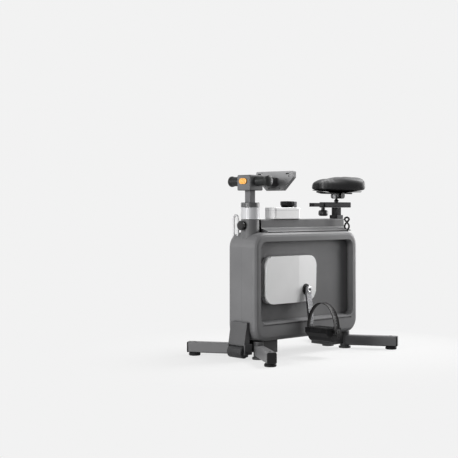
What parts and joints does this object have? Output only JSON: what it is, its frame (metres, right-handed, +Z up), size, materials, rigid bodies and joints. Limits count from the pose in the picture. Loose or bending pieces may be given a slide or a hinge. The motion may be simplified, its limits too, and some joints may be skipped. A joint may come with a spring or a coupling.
{
  "type": "desk exercise bike",
  "caption": "Slim stationary pedal bike for use under a desk: suitcase-shaped body on splayed legs, saddle on a sliding post, grips and panel on a front post, crank drive with flywheel inside.",
  "frame": {"origin": "on the floor, midway between the four feet", "axes": "+X to the rider's left, -Y to the front where the grips are, +Z up"},
  "size_m": [0.523, 0.8326, 0.787],
  "materials": {
    "shell_grey": "fine matte texture",
    "frame_grey": "satin powder coat",
    "dark_grey": "satin",
    "cover_white": "soft gloss",
    "soft_black": "matte",
    "rubber_black": "matte rubber",
    "saddle_black": "matte synthetic leather over foam",
    "steel": "satin metal",
    "cast_iron": "dark cast metal",
    "accent_orange": "satin orange"
  },
  "bodies": {
    "body": {"shell_left": "shell_grey", "shell_right": "shell_grey", "core_frame": "frame_grey", "side_plate_left": "frame_grey", "side_plate_right": "frame_grey", "top_beam": "frame_grey", "seat_flange": "soft_black", "neck_socket": "frame_grey", "neck_sleeve": "steel", "neck_collar": "dark_grey", "control_pod": "cover_white", "cover_left": "cover_white", "cover_right": "cover_white", "cover_ring_left": "soft_black", "cover_ring_right": "soft_black", "carry_loop_front": "cover_white", "carry_loop_rear": "rubber_black", "foot_frame_front": "soft_black", "foot_frame_rear": "soft_black", "leg_front_left": "frame_grey", "leg_front_right": "frame_grey", "leg_rear_left": "frame_grey", "leg_rear_right": "frame_grey", "end_cap_front_left": "soft_black", "end_cap_front_right": "soft_black", "end_cap_rear_left": "soft_black", "end_cap_rear_right": "soft_black", "roller_bracket": "frame_grey", "drive_belt": "rubber_black"},
    "crank": {"crank_axle": "steel", "crank_arm_left": "steel", "crank_arm_right": "steel"},
    "left_pedal": {"pedal_left": "soft_black", "pedal_strap_left": "rubber_black"},
    "right_pedal": {"pedal_right": "soft_black", "pedal_strap_right": "rubber_black"},
    "flywheel_body": {"flywheel": "cast_iron"},
    "magnet_arm": {"magnet_carrier": "cast_iron"},
    "dial": {"resistance_dial": "dark_grey"},
    "neck_clamp": {"neck_knob": "soft_black"},
    "handlebar": {"handlebar_post": "dark_grey", "head_block": "dark_grey", "grip_left": "rubber_black", "grip_right": "rubber_black", "console_panel": "dark_grey"},
    "button": {"release_button": "accent_orange"},
    "seat_mast": {"seat_column": "frame_grey", "seat_rail": "dark_grey"},
    "seat_slide": {"seat_slider": "soft_black", "saddle_post": "steel"},
    "slide_clamp": {"slider_knob": "soft_black"},
    "saddle": {"saddle_clamp": "soft_black", "saddle_rails": "steel", "saddle_base": "soft_black", "saddle_cushion": "saddle_black"},
    "roller": {"front_roller": "rubber_black"},
    "level_front_left": {"glide_front_left": "rubber_black"},
    "level_front_right": {"glide_front_right": "rubber_black"},
    "level_rear_left": {"glide_rear_left": "rubber_black"},
    "level_rear_right": {"glide_rear_right": "rubber_black"}
  },
  "joints": [
    {"name": "crank_spin", "type": "hinge", "parent": "body", "child": "crank", "pos_m": [0, -0.016, 0.28], "axis": [1, 0, 0], "continuous": true},
    {"name": "left_pedal_spin", "type": "hinge", "parent": "crank", "child": "left_pedal", "pos_m": [0.1835, -0.01306, 0.11153], "axis": [1, 0, 0], "continuous": true},
    {"name": "right_pedal_spin", "type": "hinge", "parent": "crank", "child": "right_pedal", "pos_m": [-0.1835, -0.01894, 0.44847], "axis": [1, 0, 0], "continuous": true},
    {"name": "flywheel_spin", "type": "hinge", "parent": "body", "child": "flywheel_body", "pos_m": [0, -0.18, 0.25], "axis": [1, 0, 0], "continuous": true},
    {"name": "dial_turn", "type": "hinge", "parent": "body", "child": "dial", "pos_m": [0, -0.049, 0.6323], "axis": [0, 0, 1], "range_deg": [0, 270]},
    {"name": "magnet_swing", "type": "hinge", "parent": "body", "child": "magnet_arm", "pos_m": [0, -0.095, 0.352], "axis": [1, 0, 0], "range_deg": [-5, 0]},
    {"name": "neck_clamp_turn", "type": "hinge", "parent": "body", "child": "neck_clamp", "pos_m": [0, -0.3141, 0.557], "axis": [0, 1, 0], "range_deg": [0, 180]},
    {"name": "handlebar_height", "type": "slide", "parent": "body", "child": "handlebar", "axis": [0, 0, 1], "range_m": [-0.045, 0.1]},
    {"name": "button_press", "type": "slide", "parent": "handlebar", "child": "button", "axis": [0, 1, 0], "range_m": [0, 0.003], "stiffness_N_per_m": 400, "springref_m": -0.002},
    {"name": "seat_height", "type": "slide", "parent": "body", "child": "seat_mast", "axis": [0, 0, 1], "range_m": [-0.01, 0.15]},
    {"name": "seat_fore_aft", "type": "slide", "parent": "seat_mast", "child": "seat_slide", "axis": [0, 1, 0], "range_m": [-0.03, 0.03]},
    {"name": "slide_clamp_turn", "type": "hinge", "parent": "seat_mast", "child": "slide_clamp", "pos_m": [0, 0.185, 0.594], "axis": [0, 0, 1], "range_deg": [0, 180]},
    {"name": "saddle_tilt", "type": "hinge", "parent": "seat_slide", "child": "saddle", "pos_m": [0, 0.275, 0.682], "axis": [1, 0, 0], "range_deg": [-5, 5]},
    {"name": "roller_spin", "type": "hinge", "parent": "body", "child": "roller", "pos_m": [0, -0.347, 0.033], "axis": [1, 0, 0], "continuous": true},
    {"name": "glide_front_left_level", "type": "slide", "parent": "body", "child": "level_front_left", "axis": [0, 0, -1], "range_m": [0, 0.008]},
    {"name": "glide_front_right_level", "type": "slide", "parent": "body", "child": "level_front_right", "axis": [0, 0, -1], "range_m": [0, 0.008]},
    {"name": "glide_rear_left_level", "type": "slide", "parent": "body", "child": "level_rear_left", "axis": [0, 0, -1], "range_m": [0, 0.008]},
    {"name": "glide_rear_right_level", "type": "slide", "parent": "body", "child": "level_rear_right", "axis": [0, 0, -1], "range_m": [0, 0.008]}
  ],
  "couplings": [
    {"joint": "flywheel_spin", "follows": "crank_spin", "ratio": 4},
    {"joint": "magnet_swing", "follows": "dial_turn", "ratio": -0.018519}
  ]
}
